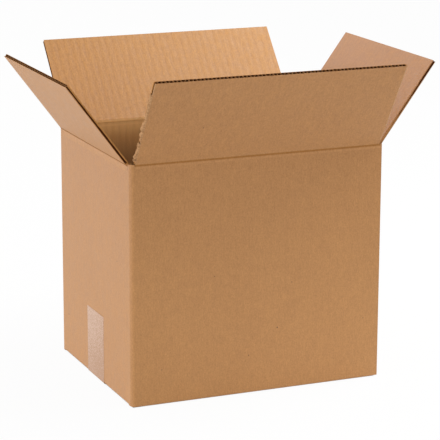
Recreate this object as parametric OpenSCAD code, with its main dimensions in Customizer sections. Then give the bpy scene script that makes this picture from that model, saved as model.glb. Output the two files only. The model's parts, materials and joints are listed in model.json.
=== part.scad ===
// Open corrugated board carton with four top flaps that turn on their creases.
// Millimetres. The origin is on the floor at the centre of the four walls, +Z is up
// and the front panel faces -Y. The long panels and their flaps are front and back.

/* [Inside size] */
// Inside length, from end panel to end panel
inside_length = 260; // [180:1:400]
// Inside width, from front panel to back panel
inside_width = 200; // [150:1:320]
// Inside height, from the bottom flaps up to the closed top flaps
inside_height = 230; // [120:1:420]

/* [Board] */
// Thickness of the corrugated board
board = 3.5; // [3:0.1:4.5]
// Thickness of each flat facing sheet
liner = 0.45; // [0.3:0.05:0.6]
// Thickness of the wavy middle sheet
medium = 0.35; // [0.25:0.05:0.5]
// Distance from one flute to the next
flute_pitch = 7.75; // [6:0.05:9.5]

/* [Folds] */
// Outside radius of the upright corner folds
corner_radius = 4.5; // [4.5:0.1:8]
// Outside radius of the folds along the bottom
bottom_radius = 2; // [1:0.1:3]
// Board thickness left where a top crease is pressed
crease_board = 2; // [1.6:0.1:2.4]
// Height over which a flap thins down to its crease
crease_band = 2.4; // [2:0.1:4]
// Height over which a wall thins up to its crease, on the outside
wall_relief = 3.6; // [3.4:0.1:6]
// Clearance between a flap's root and the wall under it
crease_gap = 0.4; // [0.3:0.05:1]
// Clearance between one folded layer and the next
layer_gap = 0.5; // [0.3:0.1:1.5]

/* [Slots] */
// Width of the slots between neighbouring flaps
slot_width = 9.5; // [7:0.1:14]
// How far each slot sits from the corner crease towards the end panel
slot_shift = 1.6; // [0:0.1:2]
// Clearance beside a flap where a wall stands higher than its crease
slot_gap = 0.3; // [0.2:0.1:1]

/* [Flaps] */
// Gap between two facing long flaps when they are folded flat
meeting_gap = 1; // [0.6:0.1:6]
// Lean of the front flap from upright
lean_front = 32; // [5:0.5:110]
// Lean of the back flap from upright
lean_back = 40.5; // [5:0.5:110]
// Lean of the left flap from upright
lean_left = 37; // [25:0.5:110]
// Lean of the right flap from upright
lean_right = 36.5; // [25:0.5:110]

/* [Glued joint] */
// Width of the glue tab behind the front panel
tab_width = 35; // [20:1:50]
// Slant of the tab's top and bottom ends
tab_slant = 15; // [5:1:30]
// How far the front flap is trimmed back from the glued edge
joint_trim = 2.2; // [1:0.1:6]
// Clearance between the right flap and the front panel
joint_gap = 0.5; // [0.3:0.1:3]

/* [Tape] */
// Width of the tape over the bottom seam
tape_width = 48; // [24:1:75]
// Thickness of the tape
tape_thick = 0.15; // [0.08:0.01:0.3]
// Height of the tape's tails on the end panels
tape_tail = 71; // [20:1:100]
// How far the tape lies in front of the bottom seam
tape_shift = 1; // [0:0.5:10]
// Width of one tooth of the tape's cut end
tape_tooth = 2.4; // [1.6:0.1:4]

/* [Hidden] */
$fn = 48;

// The middle of each wall's board, where its crease runs
crease_x = (inside_length + board) / 2;
crease_y = (inside_width + board) / 2;
face_x = crease_x + board / 2;
face_y = crease_y + board / 2;

// Two layers of bottom flaps, then the creases of the end flaps and of the long flaps
floor_top = 2 * board + layer_gap;
end_crease_z = floor_top + inside_height + board / 2;
long_crease_z = end_crease_z + board + layer_gap;

// Where the slots end the flaps
long_flap_end = crease_x - slot_width / 2 + slot_shift;
end_flap_end = crease_y - slot_width / 2 - slot_shift;
joint_flap_end = face_x - joint_trim;
joint_side_end = inside_width / 2 - joint_gap;
flap_length = crease_y - meeting_gap / 2;

// The pressed crease: the flap's round root and the wall's thin top below it
root_radius = crease_board / 2;
root_solid = crease_band + 1.5;
wall_tip = -root_radius - crease_gap;
tip_inner = 0.7 * root_radius;
tip_outer = 0.2 * root_radius;
inner_relief = board / 2 + 0.25;
slot_floor = long_crease_z + wall_tip;

// The end panels' folds sit just clear of the floor, and their flaps step up over
// this run to lie on the long flaps
end_lift = 0.9;
end_step = 0.7;
// The glue tab leaves its fold here, first as a root as high as the end panel, and a
// cut at an end panel's top reaches past that root
tab_start = face_x - corner_radius;
tab_root = 2;
fold_reach = corner_radius + tab_root;

// A flute's side, as shares of the pitch at its wide side, middle and narrow side
flute_wide = 0.44;
flute_middle = 0.25;
flute_narrow = 0.1;
web = medium * 1.4;

kraft = [0.69, 0.52, 0.35];
kraft_edge = [0.74, 0.58, 0.42];
tape_colour = [0.85, 0.76, 0.68];

// One flute in section, wide towards +Y for side 1 and towards -Y for side -1
module flute(side) {
    wide_y = side * (board / 2 - liner);
    narrow_y = -side * (board / 2 - liner - medium);
    wide = flute_wide * flute_pitch;
    middle = flute_middle * flute_pitch - web / 2;
    narrow = flute_narrow * flute_pitch;
    polygon([
        [-wide, wide_y], [wide, wide_y], [middle, 0],
        [narrow, narrow_y], [-narrow, narrow_y], [-middle, 0]
    ]);
}

// Section of a fluted sheet from x = -low to x = high
module fluted_section(low, high) {
    count = ceil((low + high) / flute_pitch) + 1;
    difference() {
        translate([-low, -board / 2]) square([low + high, board]);
        for (i = [0 : count]) {
            at = -low + (i - 0.32) * flute_pitch;
            translate([at, 0]) flute(1);
            translate([at + flute_pitch / 2, 0]) flute(-1);
        }
    }
}

// A flap standing upright on its crease, which runs along X through the origin;
// its outside faces -Y and it reaches from x = -low to x = high
module upright_flap(low, high) {
    span = low + high;
    translate([-low, 0, 0]) rotate([0, 90, 0]) cylinder(r = root_radius, h = span);
    translate([-low, 0, 0]) rotate([90, 0, 90]) linear_extrude(span)
        polygon([
            [-root_radius, 0], [root_radius, 0], [board / 2, crease_band],
            [board / 2, root_solid], [-board / 2, root_solid], [-board / 2, crease_band]
        ]);
    translate([0, 0, root_solid]) linear_extrude(flap_length - root_solid)
        fluted_section(low, high);
}

module front_flap() {
    color(kraft) translate([0, -crease_y, long_crease_z]) rotate([lean_front, 0, 0])
        upright_flap(long_flap_end, joint_flap_end);
}

module back_flap() {
    color(kraft) translate([0, crease_y, long_crease_z]) rotate([0, 0, 180])
        rotate([lean_back, 0, 0]) upright_flap(long_flap_end, long_flap_end);
}

module left_flap() {
    color(kraft) translate([-crease_x, 0, end_crease_z]) rotate([0, 0, -90])
        rotate([lean_left, 0, 0]) upright_flap(end_flap_end, end_flap_end);
}

module right_flap() {
    color(kraft) translate([crease_x, 0, end_crease_z]) rotate([0, 0, 90])
        rotate([lean_right, 0, 0]) upright_flap(joint_side_end, end_flap_end);
}

// Quarter of an upright fold in plan, bulging towards (side_x, side_y)
module corner_fold(x, y, side_x, side_y) {
    translate([x, y]) intersection() {
        difference() {
            circle(corner_radius);
            circle(corner_radius - board);
        }
        scale([side_x, side_y]) square(corner_radius);
    }
}

// The four walls in plan: one strip of board folded at three corners, with the glue
// tab's fold tucked in behind the raw end of the front panel
module wall_plan() {
    bend_x = face_x - corner_radius;
    bend_y = face_y - corner_radius;
    joint_y = inside_width / 2 - corner_radius;
    translate([-bend_x, -face_y]) square([bend_x + face_x, board]);
    translate([-bend_x, face_y - board]) square([2 * bend_x, board]);
    translate([-face_x, -bend_y]) square([board, 2 * bend_y]);
    translate([face_x - board, -joint_y]) square([board, joint_y + bend_y]);
    corner_fold(-bend_x, -bend_y, -1, -1);
    corner_fold(-bend_x, bend_y, -1, 1);
    corner_fold(bend_x, bend_y, 1, 1);
    corner_fold(bend_x, -joint_y, 1, -1);
    translate([tab_start - tab_root, -inside_width / 2]) square([tab_root, board]);
}

// The part of the plan round one corner, clear of the bottom flaps
module corner_square(side_x, side_y) {
    reach = face_y - end_flap_end;
    translate([side_x * (long_flap_end + reach / 2), side_y * (end_flap_end + reach / 2)])
        square(reach, center = true);
}

// The glue tab, flat against the inside of the front panel
module glue_tab() {
    low = floor_top + layer_gap;
    high = end_crease_z - board / 2 - layer_gap;
    slant = tab_width * tan(tab_slant);
    translate([tab_start, -inside_width / 2, 0]) rotate([90, 0, 0]) mirror([0, 0, 1])
        linear_extrude(board)
        polygon([[0, low], [0, high], [-tab_width, high - slant], [-tab_width, low + slant]]);
}

// What a radius takes off a square corner at the origin, which fills +X and +Y
module corner_waste(radius) {
    difference() {
        square(radius);
        translate([radius, radius]) circle(radius);
    }
}

// Foot of a long panel and its bottom flap in section, with the panel's outer face
// at x = 0, the floor at y = 0 and the flap along +X
module long_foot() {
    difference() {
        union() {
            square([board, floor_top]);
            square([face_y - meeting_gap / 2, board]);
        }
        corner_waste(bottom_radius);
    }
}

// Foot of an end panel in section: the panel comes down almost to the floor and its
// flap steps up at once to lie on the long flaps
module end_foot() {
    flap_low = board + layer_gap;
    flap_tip = board / 2 + flap_length;
    difference() {
        polygon([
            [0, floor_top], [0, end_lift], [bottom_radius, end_lift],
            [board + end_step, flap_low], [flap_tip, flap_low], [flap_tip, floor_top]
        ]);
        translate([0, end_lift]) corner_waste(bottom_radius);
    }
}

// Cuts the top of one wall to its crease, from x = -low to x = high. The crease runs
// along X at height crease_z, and the outside faces -Y
module crease_cut(low, high, crease_z) {
    above = slot_floor - crease_z + board;
    reach = board / 2 + crease_gap;
    translate([-low, 0, crease_z]) rotate([90, 0, 90]) linear_extrude(low + high)
        polygon([
            [-reach, -wall_relief], [-board / 2, -wall_relief], [tip_outer, wall_tip],
            [tip_inner, wall_tip], [board / 2, -inner_relief], [fold_reach, -inner_relief],
            [fold_reach, above], [-reach, above]
        ]);
}

module box_body() {
    color(kraft) difference() {
        union() {
            translate([0, 0, floor_top]) linear_extrude(slot_floor - floor_top) wall_plan();
            translate([0, 0, end_lift]) linear_extrude(floor_top - end_lift)
                intersection() {
                    wall_plan();
                    for (x = [-1, 1], y = [-1, 1]) corner_square(x, y);
                }
            for (turn = [0, 180])
                rotate([0, 0, turn]) translate([-long_flap_end, -face_y, 0])
                    rotate([90, 0, 90]) linear_extrude(2 * long_flap_end) long_foot();
            for (turn = [-90, 90])
                rotate([0, 0, turn]) translate([-end_flap_end, -face_x, 0])
                    rotate([90, 0, 90]) linear_extrude(2 * end_flap_end) end_foot();
            glue_tab();
        }
        translate([0, -crease_y, 0])
            crease_cut(long_flap_end + slot_gap, joint_flap_end + slot_gap, long_crease_z);
        translate([0, crease_y, 0]) rotate([0, 0, 180])
            crease_cut(long_flap_end + slot_gap, long_flap_end + slot_gap, long_crease_z);
        translate([-crease_x, 0, 0]) rotate([0, 0, -90])
            crease_cut(end_flap_end + slot_gap, end_flap_end + slot_gap, end_crease_z);
        translate([crease_x, 0, 0]) rotate([0, 0, 90])
            crease_cut(inside_width / 2, end_flap_end + slot_gap, end_crease_z);
        translate([-face_x, -tape_shift - tape_width / 2, 0])
            cube([2 * face_x, tape_width, tape_thick]);
    }
}

// One tail of the tape in the plane of its end panel, with its cut end's teeth
module tape_tail_outline() {
    teeth = round(tape_width / tape_tooth);
    tooth = tape_width / teeth;
    top = tape_tail - tooth / 2;
    low = tape_thick + bottom_radius;
    polygon(concat(
        [[0, low]],
        [for (i = [0 : 2 * teeth]) [i * tooth / 2, top + (i % 2) * tooth / 2]],
        [[tape_width, low]]
    ));
}

// The tape's bend from the floor up an end panel, in section at the panel's foot
module tape_bend() {
    outer = bottom_radius + tape_thick;
    intersection() {
        difference() {
            circle(outer);
            circle(bottom_radius);
        }
        translate([0, -outer]) square(outer);
    }
}

module bottom_tape() {
    run = face_x - bottom_radius;
    bend_z = bottom_radius + tape_thick;
    color(tape_colour) translate([0, -tape_shift - tape_width / 2, 0]) {
        translate([-run, 0, 0]) cube([2 * run, tape_width, tape_thick]);
        for (side = [0, 1]) translate([0, side * tape_width, 0]) rotate([0, 0, side * 180]) {
            translate([run, 0, bend_z]) rotate([90, 0, 0]) mirror([0, 0, 1])
                linear_extrude(tape_width) tape_bend();
            translate([face_x, 0, 0]) rotate([90, 0, 90])
                linear_extrude(tape_thick) tape_tail_outline();
        }
    }
}

box_body();
front_flap();
back_flap();
left_flap();
right_flap();
bottom_tape();
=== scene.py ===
import json
import math
import random

import bmesh
import bpy
from mathutils import Matrix, Quaternion, Vector


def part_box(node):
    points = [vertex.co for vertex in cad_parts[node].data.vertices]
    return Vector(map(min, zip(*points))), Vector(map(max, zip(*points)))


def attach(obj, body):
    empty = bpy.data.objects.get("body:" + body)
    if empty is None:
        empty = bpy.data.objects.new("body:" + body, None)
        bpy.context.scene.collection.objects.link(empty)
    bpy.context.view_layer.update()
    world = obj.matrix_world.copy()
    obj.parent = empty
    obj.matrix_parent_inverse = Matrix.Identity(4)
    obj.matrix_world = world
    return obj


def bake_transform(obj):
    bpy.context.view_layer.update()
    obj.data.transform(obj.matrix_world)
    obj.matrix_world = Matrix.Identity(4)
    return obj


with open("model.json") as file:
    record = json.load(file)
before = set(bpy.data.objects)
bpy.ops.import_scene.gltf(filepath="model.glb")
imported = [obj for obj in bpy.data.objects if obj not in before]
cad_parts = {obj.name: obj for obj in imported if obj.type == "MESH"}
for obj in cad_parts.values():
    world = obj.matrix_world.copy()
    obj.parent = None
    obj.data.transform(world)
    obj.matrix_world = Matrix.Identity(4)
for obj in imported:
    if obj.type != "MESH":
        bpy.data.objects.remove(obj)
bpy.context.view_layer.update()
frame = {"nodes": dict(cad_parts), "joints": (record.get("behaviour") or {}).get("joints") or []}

bpy.context.scene.view_settings.view_transform = "Standard"

# The camera stands in front of the carton, to its left and a little above it, with a
# long lens and no shift. It looks at a point inside the carton.
picture_width = 440
focal_pixels = 2059.0
camera_place = Vector((-0.7985, -1.8837, 0.6625))
camera_target = Vector((-0.0007, -0.0088, 0.1544))
camera_roll = 0.0038
bpy.ops.object.camera_add(location=camera_place)
camera = bpy.context.object
camera.rotation_mode = "QUATERNION"
aim = (camera_target - camera_place).to_track_quat("-Z", "Y")
camera.rotation_quaternion = aim @ Quaternion((0, 0, 1), camera_roll)
camera.data.lens = camera.data.sensor_width * focal_pixels / picture_width
camera.data.clip_start = 0.05
camera.data.clip_end = 60
bpy.context.scene.camera = camera

# A white room lights the carton evenly and shows white in the board's sheen. Wide
# screens stand behind it on the left and at its left, and a small one hangs over its
# right side.
room_light = 0.62
room_white = (1, 1, 1, 1)
carton_middle = (0, 0, 0.15)
screens = {
    "screen_back_left": ((-1.3, 2.6, 0.5), carton_middle, 2.2, 26),
    "screen_left": ((-2.5, -0.4, 0.5), carton_middle, 2.0, 27),
    "screen_over_right": ((0.85, -0.1, 1.35), carton_middle, 0.8, 15.5),
}


class Wire:
    """A value inside a finish. Arithmetic on it adds Math nodes."""

    def __init__(self, finish, socket):
        self.finish = finish
        self.socket = socket

    def maths(self, operation, first, second=0):
        return self.finish.node("Math", {"operation": operation}, {0: first, 1: second})

    def __add__(self, other):
        return self.maths("ADD", self, other)

    def __sub__(self, other):
        return self.maths("SUBTRACT", self, other)

    def __rsub__(self, other):
        return self.maths("SUBTRACT", other, self)

    def __mul__(self, other):
        return self.maths("MULTIPLY", self, other)

    def __gt__(self, other):
        return self.maths("GREATER_THAN", self, other)

    def __lt__(self, other):
        return self.maths("LESS_THAN", self, other)

    def __abs__(self):
        return self.maths("ABSOLUTE", self)

    def cosine(self):
        return self.maths("COSINE", self)

    def larger(self, other):
        return self.maths("MAXIMUM", self, other)

    __radd__ = __add__
    __rmul__ = __mul__


class Finish:
    """The nodes of a material or of the room. node() adds one and returns an output."""

    def __init__(self, owner):
        owner.use_nodes = True
        self.owner = owner
        self.tree = owner.node_tree
        self.tree.nodes.clear()

    def node(self, kind, settings, sockets, output=0):
        made = self.tree.nodes.new("ShaderNode" + kind)
        for setting, value in settings.items():
            setattr(made, setting, value)
        for socket, value in sockets.items():
            if isinstance(value, Wire):
                self.tree.links.new(value.socket, made.inputs[socket])
            else:
                made.inputs[socket].default_value = value
        return Wire(self, made.outputs[output])

    def show(self, shader, end="OutputMaterial"):
        last = self.tree.nodes.new("ShaderNode" + end)
        self.tree.links.new(shader.socket, last.inputs["Surface"])


def seen_white(finish):
    """1 for rays from the camera and from the board's sheen, which see the room white."""
    camera_ray = finish.node("LightPath", {}, {}, "Is Camera Ray")
    glossy_ray = finish.node("LightPath", {}, {}, "Is Glossy Ray")
    return camera_ray.larger(glossy_ray)


for name, (place, target, width, power) in screens.items():
    towards = (Vector(target) - Vector(place)).to_track_quat("-Z", "Y").to_euler()
    bpy.ops.object.light_add(type="AREA", location=place, rotation=towards)
    screen = bpy.context.object
    screen.name = name
    screen.data.size = width
    screen.data.energy = power

room = Finish(bpy.data.worlds.new("studio"))
bpy.context.scene.world = room.owner
dim = room.node("Background", {}, {"Color": room_white, "Strength": room_light})
white = room.node("Background", {}, {"Color": room_white, "Strength": 1.0})
room.show(room.node("MixShader", {}, {0: seen_white(room), 1: dim, 2: white}), "OutputWorld")

# The floor is white paper. The camera and the board's sheen see it nearly white, and it
# keeps the carton's soft shadow. Under the carton it is dark, so that no white shows
# through the fine gaps in the closed bottom.
floor_size = 30
floor_drop = 0.0004
floor_white = (0.86, 0.86, 0.86, 1)
floor_glow = 0.95
under_inset = 0.0022


def new_finish(name):
    """The finish of a new material."""
    return Finish(bpy.data.materials.new(name))


def parts(finish, vector):
    """The three parts of a place or of a direction."""
    return [finish.node("SeparateXYZ", {}, {0: vector}, axis) for axis in "XYZ"]


bpy.ops.mesh.primitive_plane_add(size=floor_size, location=(0, 0, -floor_drop))
floor = bpy.context.object
floor.name = "floor"
paper_floor = new_finish("white floor")
lit = paper_floor.node("BsdfDiffuse", {}, {"Color": floor_white})
glow = paper_floor.node("Emission", {}, {"Color": room_white, "Strength": 1.0})
x, y = parts(paper_floor, paper_floor.node("TexCoord", {}, {}, "Object"))[:2]
body_low, body_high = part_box("box_body")
under = (abs(x) < body_high.x - under_inset) * (abs(y) < body_high.y - under_inset)
shown = seen_white(paper_floor) * (1 - under) * floor_glow
paper_floor.show(paper_floor.node("MixShader", {}, {0: shown, 1: lit, 2: glow}))
floor.data.materials.append(paper_floor.owner)

# The body is one blank of single-wall corrugated board, folded into a tube and glued
# along its front right corner, with its bottom flaps closed. The board is brown kraft
# liner on both sides of a darker wavy sheet.
flute_pitch = 0.00775
board = 0.0035
liner = 0.00045
kraft_dark = (0.355, 0.152, 0.040, 1)
kraft_pale = (0.645, 0.322, 0.114, 1)
inner_dark = (0.338, 0.138, 0.025, 1)
inner_pale = (0.615, 0.294, 0.070, 1)
# Near-black brown for the open flutes: the wavy sheet's own brown and painted shade. It is also
# the colour of painted shade elsewhere.
flute_brown_and_shade = (0.055, 0.016, 0.005, 1)
# A pink painted sheen, standing in for the white room seen in the paper at a grazing angle.
painted_sheen_pink = (0.76, 0.47, 0.55, 1)
kraft_gloss = 1.5

# The unevenness of the paper: patches to the metre, and what they change.
wander_patches = (90, 90, 30)
wander_reach = 0.004
line_patches = (260, 260, 130)
line_from = 0.1
line_to = 0.95
line_gaps = 0.1
slow_patches = (9, 9, 7)
slow_tone = 0.16
mottle_patches = (130, 130, 100)
mottle_tone = 0.26
mottle_height = 0.04
mottle_roughness = 0.2
streak_patches = (560, 560, 130)
streak_tone = 0.3
streak_ribs = 0.15
grain_patches = (800, 800, 620)
grain_tone = 0.75
grain_height = 0.05
fibre_patches = (1900, 1900, 420)
fibre_tone = 0.5
fibre_height = 0.04
fibre_roughness = 0.25
wave_tone = 0.014
wave_height = 0.011
line_tone = 0.017
line_height = 0.006
middle_tone = 0.5
middle_ribs = 0.005
kraft_roughness = 0.5
millimetre = 0.001

# Dark bark flecks in the paper, each with its place and its radius.
fleck_soft = 0.0005
fleck_strength = 0.8
fleck_brown = (0.10, 0.040, 0.015, 1)
body_flecks = (
    (-0.0463, body_low.y, 0.1239, 0.0003),
    (-0.1020, body_low.y, 0.0353, 0.0003),
    (0.0366, body_low.y, 0.1095, 0.0003),
    (0.0212, body_low.y, 0.0643, 0.0005),
    (-0.0096, body_low.y, 0.0390, 0.0003),
    (0.1165, body_low.y, 0.0633, 0.0002),
    (body_low.x, -0.0653, 0.1383, 0.0003),
    (body_low.x, 0.0824, 0.0444, 0.0005),
)


def tint(finish, amount, below, above):
    """A colour between two others."""
    return finish.node(
        "Mix", {"data_type": "RGBA"}, {0: amount, 6: below, 7: above}, 2
    )


def rise(finish, value, low, high):
    """0 below low and 1 above high, with a smooth run between them."""
    return finish.node(
        "MapRange",
        {"interpolation_type": "SMOOTHSTEP"},
        {"Value": value, "From Min": low, "From Max": high},
    )


def cloud(finish, place, patches, detail=3):
    """Noise about zero, with so many patches to the metre along each axis."""
    spread = finish.node(
        "VectorMath", {"operation": "MULTIPLY"}, {0: place, 1: patches}
    )
    noise = finish.node(
        "TexNoise", {}, {"Vector": spread, "Scale": 1.0, "Detail": detail}, "Fac"
    )
    return noise - 0.5


def kraft_paper(finish, place, across, inner, ribs, painted_light_tone):
    """Colour, height in millimetres and roughness of kraft liner. place has its third
    axis along the flutes and across counts over them. inner is 1 on the liner that
    faces the goods, ribs is how much the flutes show and painted_light_tone makes the
    paper lighter or darker as painted light and shade."""
    wander = cloud(finish, place, wander_patches) * wander_reach
    wave = ((across + wander) * (2 * math.pi / flute_pitch)).cosine()
    broken = rise(finish, cloud(finish, place, line_patches), -line_gaps, line_gaps)
    line = rise(finish, wave, line_from, line_to) * broken
    slow = cloud(finish, place, slow_patches, 2)
    mottle = cloud(finish, place, mottle_patches)
    streaks = cloud(finish, place, streak_patches)
    grain = cloud(finish, place, grain_patches)
    fibres = cloud(finish, place, fibre_patches)
    tone = slow * slow_tone + mottle * mottle_tone + grain * grain_tone
    tone = tone + fibres * fibre_tone + streaks * (streak_ribs * ribs + streak_tone)
    tone = tone - wave * (wave_tone * ribs) - line * (line_tone * ribs)
    tone = tone + (middle_ribs * ribs + middle_tone) + painted_light_tone
    outer_colour = tint(finish, tone, kraft_dark, kraft_pale)
    inner_colour = tint(finish, tone, inner_dark, inner_pale)
    colour = tint(finish, inner, outer_colour, inner_colour)
    height = wave * (-wave_height * ribs) - line * (line_height * ribs)
    height = height + fibres * fibre_height + grain * grain_height + mottle * mottle_height
    roughness = kraft_roughness + mottle * mottle_roughness + fibres * fibre_roughness
    return colour, height, roughness


def flecks(finish, place, spots):
    """1 on the small bark flecks in the paper, each given as a place and a radius."""
    marks = 0
    for x, y, z, radius in spots:
        away = finish.node(
            "VectorMath", {"operation": "DISTANCE"}, {0: place, 1: (x, y, z)}, "Value"
        )
        marks = marks + (1 - rise(finish, away, radius, radius + fleck_soft))
    return marks


def paint_board(finish, colour, height, roughness, bare):
    """Wires up a board's finish. Height is in millimetres. bare is 1 where a cut or a
    crease has broken the smooth face of the paper."""
    bump = finish.node(
        "Bump", {}, {"Strength": 1.0, "Distance": millimetre, "Height": height}
    )
    sheen = finish.node(
        "BsdfPrincipled",
        {},
        {"Base Color": colour, "Roughness": roughness, "Normal": bump, "IOR": kraft_gloss},
    )
    matt = finish.node("BsdfDiffuse", {}, {"Color": colour, "Normal": bump})
    finish.show(finish.node("MixShader", {}, {0: bare, 1: sheen, 2: matt}))


def finish_node(name, finish):
    """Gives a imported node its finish."""
    mesh = frame["nodes"][name].data
    mesh.materials.clear()
    mesh.materials.append(finish.owner)


# Inside, the walls are dusty and show more ribs, with a painted highlight near the top
# and painted shade further down.
inner_half_x = body_high.x - board / 2
inner_half_y = body_high.y - board / 2
inner_floor = body_low.z + board / 2
end_facing = 0.6
outer_ribs = 0.5
inner_ribs = 4.5
painted_light_middle = 0.14
painted_light_run = 1.2
dust = (0.66, 0.42, 0.20, 1)
dust_share = 0.4
lit_paper = (0.95, 0.60, 0.26, 1)
lit_low = 0.222
lit_high = 0.243
lit_share = 0.5
end_painted_sheen = 0.02
shade_low = 0.195
shade_high = 0.238
shade_depth = 0.6
rim_facing = 0.7
rim_shade = 0.8
body_board = new_finish("kraft board")
place = body_board.node("TexCoord", {}, {}, "Object")
x, y, z = parts(body_board, place)
facing = parts(body_board, body_board.node("TexCoord", {}, {}, "Normal"))
on_end = abs(facing[0]) > end_facing
across = x + on_end * (y - x)
inside = (abs(x) < inner_half_x) * (abs(y) < inner_half_y) * (z > inner_floor)
ribs = inside * inner_ribs + outer_ribs
# Painted light: the paper is painted lighter towards the bottom and darker towards the top.
painted_light_tone = (painted_light_middle - z) * painted_light_run
colour, height, roughness = kraft_paper(body_board, place, across, inside, ribs, painted_light_tone)
colour = tint(body_board, inside * dust_share, colour, dust)
# Painted highlight: the inside walls are painted lighter near the top.
near_top = rise(body_board, z, lit_low, lit_high)
colour = tint(body_board, inside * near_top * lit_share, colour, lit_paper)
# A faint painted pink sheen on the outer faces of the end panels.
colour = tint(body_board, on_end * (1 - inside) * end_painted_sheen, colour, painted_sheen_pink)
marks = flecks(body_board, place, body_flecks)
colour = tint(body_board, marks * fleck_strength, colour, fleck_brown)
# Painted shade: the inside walls darken towards flute brown further down.
deep_shade = inside * (1 - rise(body_board, z, shade_low, shade_high))
colour = tint(body_board, deep_shade * shade_depth, colour, flute_brown_and_shade)
# The upward faces of the wall tops are painted dark: flute brown and painted shade.
rim = (facing[2] > rim_facing) * (z > shade_high)
colour = tint(body_board, rim * rim_shade, colour, flute_brown_and_shade)
paint_board(body_board, colour, height, roughness, rim)
finish_node("box_body", body_board)

# Each top flap is part of the blank and hangs on its pressed crease. Its tip and sides
# are knife cuts, brown where the paper is cut, and painted nearly black down the open
# flutes, for the flutes' own brown and their painted shade.
inner_face_ribs = {"front": 1.5, "back": 2.6, "left": 1.0, "right": 1.0}
# Painted light and shade: each flap's tone shift and tone slope along its crease, and a pink
# painted sheen on some inner faces.
painted_light_shift = {"front": -0.09, "back": 0.0, "left": 0.0, "right": -0.02}
painted_light_slope = {"front": 0.0, "back": -0.9, "left": 0.0, "right": 0.0}
inner_painted_sheen = {"front": 0.0, "back": 0.0, "left": 0.0, "right": 0.10}
flap_flecks = {"front": ((-0.0676, -0.00175, 0.0409, 0.0004),)}

# Along the side cuts the outer liner is worn pale, and the dark core widens to the crease.
pale_rim = {"front": 0.3, "back": 0.15, "left": 0.0, "right": 0.15}
pale_rim_width = 0.0008
pale_rim_skin = 0.0004
pale_paper = (0.68, 0.46, 0.27, 1)
cut_at_tip = {"front": 0.0005, "back": 0.0012, "left": 0.0007, "right": 0.0011}
cut_at_crease = {"front": 0.0010, "back": 0.0012, "left": 0.0011, "right": -0.0002}
cut_zone = 0.0015
cut_facing = 0.9
cut_ragged = 0.0008
cut_lean = 0.0003
cut_share = 0.4
cut_paper = (0.42, 0.215, 0.095, 1)
cut_shadow = (0.11, 0.045, 0.018, 1)
web_brown = (0.27, 0.115, 0.040, 1)

# What shows in the cut board: its liners, its core and the open ends of its flutes.
skin = 0.0001
core_spread = 0.0002
core_soft = 0.0001
core_low = 0.004
flute_start = 0.32
hollows_per_flute = 2
hollow_from = -0.5
hollow_to = 0.6
joints = {joint["child"]: joint for joint in frame["joints"]}


def flap_frame(side):
    """The middle of a flap's crease, its lean from upright and its turn about Z."""
    joint = joints[side]
    lean = math.radians(-joint["range_deg"][0] - 90)
    turn = math.atan2(joint["axis"][1], joint["axis"][0])
    return Vector(joint["pos_m"]), lean, turn


def flap_length(side):
    """How far a flap reaches from its crease, from the height of its outer tip."""
    crease, lean = flap_frame(side)[:2]
    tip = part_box(side + "_flap")[1].z - crease.z
    return (tip - board / 2 * math.sin(lean)) / math.cos(lean)


def along_axis(side):
    """0 for a crease along X and 1 for one along Y."""
    turn = flap_frame(side)[2]
    return 0 if abs(math.cos(turn)) > abs(math.sin(turn)) else 1


def flap_ends(side):
    """Where a flap starts and ends along its own crease."""
    turn = flap_frame(side)[2]
    forward = math.cos(turn) + math.sin(turn)
    along = along_axis(side)
    return sorted(forward * corner[along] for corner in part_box(side + "_flap"))


def crease_place(finish, crease, lean, turn):
    """A place counted from a crease: along it, through the board and up the flap."""
    return finish.node(
        "Mapping",
        {"vector_type": "TEXTURE"},
        {
            "Vector": finish.node("TexCoord", {}, {}, "Object"),
            "Location": crease,
            "Rotation": (lean, 0, turn),
        },
    )


def sideways(finish, side):
    """How squarely a face looks along a flap's crease, from 0 to 1."""
    facing = finish.node("TexCoord", {}, {}, "Normal")
    return abs(parts(finish, facing)[along_axis(side)])


def ribs_on(side, inner):
    """How much the flutes show on a flap's outer and inner face."""
    return inner * (inner_face_ribs[side] - outer_ribs) + outer_ribs


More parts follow.
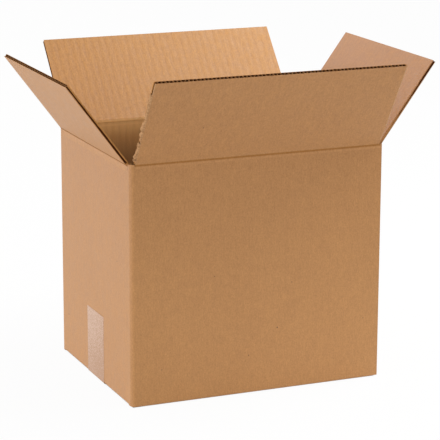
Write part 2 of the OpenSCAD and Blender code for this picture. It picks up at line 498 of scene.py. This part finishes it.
flap_finish = {}
for side in inner_face_ribs:
    crease, lean, turn = flap_frame(side)
    length = flap_length(side)
    start, end = flap_ends(side)
    half_run = (end - start) / 2
    flap_board = new_finish(side + " flap board")
    place = crease_place(flap_board, crease, lean, turn)
    across, through, up = parts(flap_board, place)
    inner = through > 0
    # Painted light and shade: this flap's tone shift and tone slope.
    painted_light_tone = across * painted_light_slope[side] + painted_light_shift[side]
    colour, height, roughness = kraft_paper(
        flap_board, place, across, inner, ribs_on(side, inner), painted_light_tone
    )
    # Painted pink sheen on the inner face.
    colour = tint(flap_board, inner * inner_painted_sheen[side], colour, painted_sheen_pink)
    if side in flap_flecks:
        marks = flecks(flap_board, place, flap_flecks[side])
        colour = tint(flap_board, marks * fleck_strength, colour, fleck_brown)
    off_middle = abs(across - (start + end) / 2)
    by_rim = off_middle > half_run - pale_rim_width
    rim = by_rim * (through < pale_rim_skin - board / 2)
    colour = tint(flap_board, rim * pale_rim[side], colour, pale_paper)
    cut_side = sideways(flap_board, side) > cut_facing
    by_cut = off_middle > half_run - cut_zone
    widening = (cut_at_crease[side] - cut_at_tip[side]) / length
    crushed = (length - up) * widening + cut_at_tip[side]
    crushed = crushed + cloud(flap_board, place, line_patches, 2) * cut_ragged
    open_half = board / 2 - liner + core_spread
    core_half = by_cut * (crushed - open_half) + open_half
    off_core = abs(through + cut_side * cut_lean) - core_half
    core = (1 - rise(flap_board, off_core, -core_soft, core_soft)) * (up > core_low)
    depth = abs(through)
    edge = depth < board / 2 - skin
    tip = (up > length - skin) * (depth < board / 2 - liner)
    count = (across - start) * (1 / flute_pitch) + flute_start
    beat = (count * (2 * math.pi * hollows_per_flute)).cosine()
    hollow = rise(flap_board, beat, hollow_from, hollow_to)
    end_grain = tint(flap_board, hollow, cut_paper, cut_shadow)
    # The core is painted nearly black: the flutes' own brown and painted shade.
    tunnel = tint(flap_board, hollow * (1 - cut_side), web_brown, flute_brown_and_shade)
    tunnel = tint(flap_board, cut_side, tunnel, flute_brown_and_shade)
    colour = tint(flap_board, edge * cut_share, colour, cut_paper)
    colour = tint(flap_board, tip, colour, end_grain)
    colour = tint(flap_board, core * (1 - tip), colour, tunnel)
    paint_board(flap_board, colour, height, roughness, edge)
    finish_node(side + "_flap", flap_board)
    flap_finish[side] = flap_board

# Each top crease is the same board, pressed thin by a blunt rule so that it folds there
# and nowhere else. The press leaves a shallow groove on both faces with a brown line,
# partly crushed paper and partly painted shade, and the fold is bent to its flap's lean.
fold_low = -0.0056
fold_high = 0.0046
fold_rows = 24
fold_columns_per_flute = 2
fold_proud = 0.00004
fold_recess = 0.0001
fold_smooth = math.radians(35)
nearly_along = 0.9

# Heights from the hinge's axis: where the bend starts and ends, and where the groove lies.
bend_from = {"front": -0.0031, "back": -0.0014, "left": -0.0022, "right": -0.0022}
bend_to = {"front": 0.0014, "back": 0.0014, "left": 0.0023, "right": 0.0023}
groove_line = {"front": -0.0024, "back": -0.0025, "left": 0.0019, "right": 0.0019}
groove_shade = {"front": 0.3, "back": 0.45, "left": 0.6, "right": 0.5}
groove_half = 0.0011
groove_least = 0.001
groove_outside = 0.00018
groove_inside = 0.0002
groove_brown_and_shade = (0.20, 0.085, 0.030, 1)
groove_from = 0.0014
groove_full = 0.0004
below_bend_full = -0.0004
below_bend_end = 0.0012
below_bend_lit = 0.85
fold_end_facing = 0.8
fold_end_depth = 0.8


def smooth(share):
    """The smooth run from 0 to 1 that a fold's bend follows."""
    share = min(max(share, 0.0), 1.0)
    return share * share * (3 - 2 * share)


def block(name, *spans):
    """A new block between a low and a high value on each axis, open in edit mode."""
    bpy.ops.object.select_all(action="DESELECT")
    bpy.ops.mesh.primitive_cube_add(
        size=1,
        location=[(low + high) / 2 for low, high in spans],
        scale=[high - low for low, high in spans],
    )
    piece = bpy.context.object
    piece.name = name
    bpy.ops.object.transform_apply()
    bpy.ops.object.mode_set(mode="EDIT")
    return piece


def divide(piece, axis, cuts):
    """Cuts the piece across all its edges that run along an axis."""
    bpy.ops.mesh.select_mode(type="EDGE")
    points = bmesh.from_edit_mesh(piece.data)
    for edge in points.edges:
        run = edge.verts[0].co - edge.verts[1].co
        edge.select_set(abs(run[axis]) > nearly_along * run.length)
    bmesh.update_edit_mesh(piece.data)
    bpy.ops.mesh.subdivide(number_cuts=cuts)


def pick(piece, wanted):
    """Selects the points of the piece in edit mode that wanted() says yes to."""
    bpy.ops.mesh.select_mode(type="VERT")
    points = bmesh.from_edit_mesh(piece.data)
    for point in points.verts:
        point.select_set(wanted(point))
    points.select_flush(True)
    bmesh.update_edit_mesh(piece.data)


def rows_up(piece, digits):
    """The numbers of the points in each row of the piece, under the row's height, which
    is rounded to so many digits."""
    rows = {}
    for point in bmesh.from_edit_mesh(piece.data).verts:
        rows.setdefault(round(point.co.z, digits), set()).add(point.index)
    return rows


def hang(piece, crease, lean, turn):
    """Ends the shaping of a piece at the origin and moves it onto a crease."""
    bpy.ops.object.mode_set(mode="OBJECT")
    piece.location = crease
    piece.rotation_euler = (lean, 0, turn)
    bpy.ops.object.transform_apply()


for side in inner_face_ribs:
    crease, lean, turn = flap_frame(side)
    first, last = flap_ends(side)
    start, end = first + fold_recess, last - fold_recess
    half = board / 2 + fold_proud
    fold = block(side + "_fold", (start, end), (-half, half), (fold_low, fold_high))
    divide(fold, 2, fold_rows - 1)
    divide(fold, 0, round((end - start) / flute_pitch * fold_columns_per_flute))
    for row, chosen in rows_up(fold, 6).items():
        off_line = min(abs(row - groove_line[side]) / groove_half, 1)
        groove = math.cos(math.pi / 2 * off_line) ** 2
        if groove > groove_least:
            pick(fold, lambda p: p.index in chosen and p.co.y < 0)
            bpy.ops.transform.translate(value=(0, groove_outside * groove, 0))
            pick(fold, lambda p: p.index in chosen and p.co.y > 0)
            bpy.ops.transform.translate(value=(0, -groove_inside * groove, 0))
        bend = smooth((row - bend_from[side]) / (bend_to[side] - bend_from[side]))
        if bend > 0:
            pick(fold, lambda p: p.index in chosen)
            bpy.ops.transform.rotate(
                value=-lean * bend, orient_axis="X", center_override=(0, 0, 0)
            )
    hang(fold, crease, 0, turn)
    fold_board = new_finish(side + " fold board")
    place = crease_place(fold_board, crease, 0, turn)
    across, through, up = parts(fold_board, place)
    inner = through + up.larger(0) * math.tan(lean) > 0
    flap_side = up > groove_line[side]
    wall_side = inner * (1 - flap_side)
    # Painted light and shade on the flap's side of the fold, as on the flap.
    painted_light_tone = flap_side * (across * painted_light_slope[side] + painted_light_shift[side])
    colour, height, roughness = kraft_paper(
        fold_board, place, across, inner, ribs_on(side, inner), painted_light_tone
    )
    # Painted pink sheen, as on the flap.
    colour = tint(fold_board, inner * flap_side * inner_painted_sheen[side], colour, painted_sheen_pink)
    colour = tint(fold_board, wall_side * dust_share, colour, dust)
    # Painted light: the inner wall side of the fold and the strip just above its groove are
    # painted lighter.
    past_bend = rise(fold_board, up, below_bend_full, below_bend_end)
    below_bend = inner * flap_side * (1 - past_bend)
    lit = wall_side * lit_share + below_bend * below_bend_lit
    colour = tint(fold_board, lit, colour, lit_paper)
    # The groove line: partly crushed paper and partly painted shade.
    off_line = abs(up - groove_line[side])
    line = 1 - rise(fold_board, off_line, groove_full, groove_from)
    colour = tint(fold_board, line * groove_shade[side], colour, groove_brown_and_shade)
    # The fold's cut ends are painted dark: flute brown and painted shade.
    end_face = sideways(fold_board, side) > fold_end_facing
    colour = tint(fold_board, end_face * fold_end_depth, colour, flute_brown_and_shade)
    paint_board(fold_board, colour, height, roughness, end_face.larger(line))
    fold.data.materials.append(fold_board.owner)
    bpy.ops.object.shade_smooth_by_angle(angle=fold_smooth)
    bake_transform(fold)

# The slotting knives have crushed the flutes along both side cuts of every flap. A strip
# of squashed paper nearly closes the board there, with a shallow valley down its middle.
crush_low = 0.0042
crush_short = 0.0004
crush_deep = 0.0014
crush_recess = 0.00005
crush_spread = 0.0001
crush_half = board / 2 - liner + crush_spread
crush_cuts = 60
crush_valley = 0.0004
crush_uneven = 0.00004
cut_smooth = math.radians(50)
for side in inner_face_ribs:
    crease, lean, turn = flap_frame(side)
    crush_high = flap_length(side) - crush_short
    for cut, inward in zip(flap_ends(side), (1, -1)):
        outer = cut + inward * crush_recess
        inner = outer + inward * crush_deep
        strip = block(
            side + ("_cut_start" if inward > 0 else "_cut_end"),
            sorted((outer, inner)),
            (-crush_half, crush_half),
            (crush_low, crush_high),
        )
        divide(strip, 2, crush_cuts)
        divide(strip, 1, 1)
        half_way = cut + inward * crush_deep / 2
        pick(strip, lambda p: abs(p.co.y) < skin and (p.co.x - half_way) * inward < 0)
        bpy.ops.transform.translate(value=(inward * crush_valley, 0, 0))
        bpy.ops.mesh.select_all(action="SELECT")
        bpy.ops.transform.vertex_random(offset=crush_uneven, seed=3)
        hang(strip, crease, lean, turn)
        strip.data.materials.append(flap_finish[side].owner)
        bpy.ops.object.shade_smooth_by_angle(angle=cut_smooth)
        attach(strip, side)

# The lower part of the front flap's left side was torn free of the next flap instead of
# cut. Ragged fibres stand out there along the outer liner, with two small nicks in them,
# which are painted dark as painted shadow.
torn_low = 0.0035
torn_high = 0.087
torn_cuts_up = 140
torn_cuts_through = 3
torn_out = 0.0003
torn_in = 0.0007
torn_proud = 0.00012
torn_inner = 0.00125
torn_flare = 0.0010
torn_flare_height = 0.009
torn_back = (-0.0004, 0.0005)
torn_uneven = 0.00006
tuft_rows = 3
tuft_reach = 0.0018
tuft_power = 1.5
fray = 0.0003
nicks = ((0.0256, 0.0278), (0.0050, 0.0066))
nick_shade = 0.85
torn_dark = (0.28, 0.135, 0.055, 1)
torn_pale = (0.62, 0.36, 0.18, 1)
torn_fibre_patches = (1100, 1100, 700)
torn_fibre_tone = 0.5
torn_fibre_height = 0.2
torn_clump_patches = (420, 420, 420)
torn_clump_tone = 1.8
torn_middle_tone = 0.6
torn_roughness = 0.9
tear = random.Random(11)
crease, lean, turn = flap_frame("front")
start, end = flap_ends("front")
torn_edge = block(
    "torn_edge",
    (start - torn_out, start + torn_in),
    (-board / 2 - torn_proud, torn_inner),
    (torn_low, torn_high),
)
divide(torn_edge, 2, torn_cuts_up)
divide(torn_edge, 1, torn_cuts_through)
rows = rows_up(torn_edge, 5)
tufts = [-tuft_reach * tear.random() ** tuft_power for tuft in range(len(rows) // tuft_rows + 2)]
for count, (row, chosen) in enumerate(sorted(rows.items())):
    before, share = divmod(count / tuft_rows, 1)
    before = int(before)
    outward = tufts[before] + (tufts[before + 1] - tufts[before]) * share
    outward += fray - tear.random() * 2 * fray
    outward -= torn_flare * max(0, 1 - (row - torn_low) / torn_flare_height)
    if any(low < row < high for low, high in nicks):
        outward = torn_out * 2
    pick(torn_edge, lambda p: p.index in chosen and p.co.x < start)
    bpy.ops.transform.translate(value=(outward, 0, 0))
    pick(torn_edge, lambda p: p.index in chosen and p.co.x > start + torn_in / 2)
    bpy.ops.transform.translate(value=(tear.uniform(*torn_back), 0, 0))
bpy.ops.mesh.select_all(action="SELECT")
bpy.ops.transform.vertex_random(offset=torn_uneven, seed=5)
hang(torn_edge, crease, lean, turn)
torn_paper = new_finish("torn paper")
place = crease_place(torn_paper, crease, lean, turn)
up = parts(torn_paper, place)[2]
fibres = cloud(torn_paper, place, torn_fibre_patches, 4)
clumps = cloud(torn_paper, place, torn_clump_patches)
tone = fibres * torn_fibre_tone + clumps * torn_clump_tone + torn_middle_tone
colour = tint(torn_paper, tone, torn_dark, torn_pale)
# Painted shadow in the two nicks.
for low, high in nicks:
    in_nick = (up > low) * (up < high)
    colour = tint(torn_paper, in_nick * nick_shade, colour, flute_brown_and_shade)
paint_board(torn_paper, colour, fibres * torn_fibre_height, torn_roughness, 1.0)
torn_edge.data.materials.append(torn_paper.owner)
bpy.ops.object.shade_smooth_by_angle(angle=cut_smooth)
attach(torn_edge, "front")

# One strip of clear packing tape holds the bottom shut. It is thin glued film that runs
# along the seam and up both end panels. It is whitish in patches where bubbles are caught
# under it, and a painted sheen makes it whiter towards its top and its back.
tape_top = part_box("bottom_tape")[1].z
tape_clear = (0.49, 0.265, 0.140, 1)
tape_whitish_sheen = (0.66, 0.445, 0.325, 1)
tape_roughness = 0.4
speckle_patches = (900, 900, 900)
speckle_air = 6
patch_patches = (110, 110, 70)
patch_air = 0.6
patch_height = 0.12
sheen_upwards = 0.7
sheen_backwards = 9
tape_film = new_finish("clear tape")
place = tape_film.node("TexCoord", {}, {}, "Object")
y, z = parts(tape_film, place)[1:]
speckle = cloud(tape_film, place, speckle_patches)
patches = cloud(tape_film, place, patch_patches, 2)
# Painted sheen: whiter upwards and towards the back, with random bubble patches.
air_and_sheen = rise(tape_film, z, 0, tape_top) * sheen_upwards + y * sheen_backwards
air_and_sheen = air_and_sheen + speckle * speckle_air + patches * patch_air
colour = tint(tape_film, air_and_sheen, tape_clear, tape_whitish_sheen)
height = patches * patch_height
ripple = tape_film.node(
    "Bump", {}, {"Strength": 1.0, "Distance": millimetre, "Height": height}
)
film = {"Base Color": colour, "Roughness": tape_roughness, "Normal": ripple}
tape_film.show(tape_film.node("BsdfPrincipled", {}, film))
finish_node("bottom_tape", tape_film)
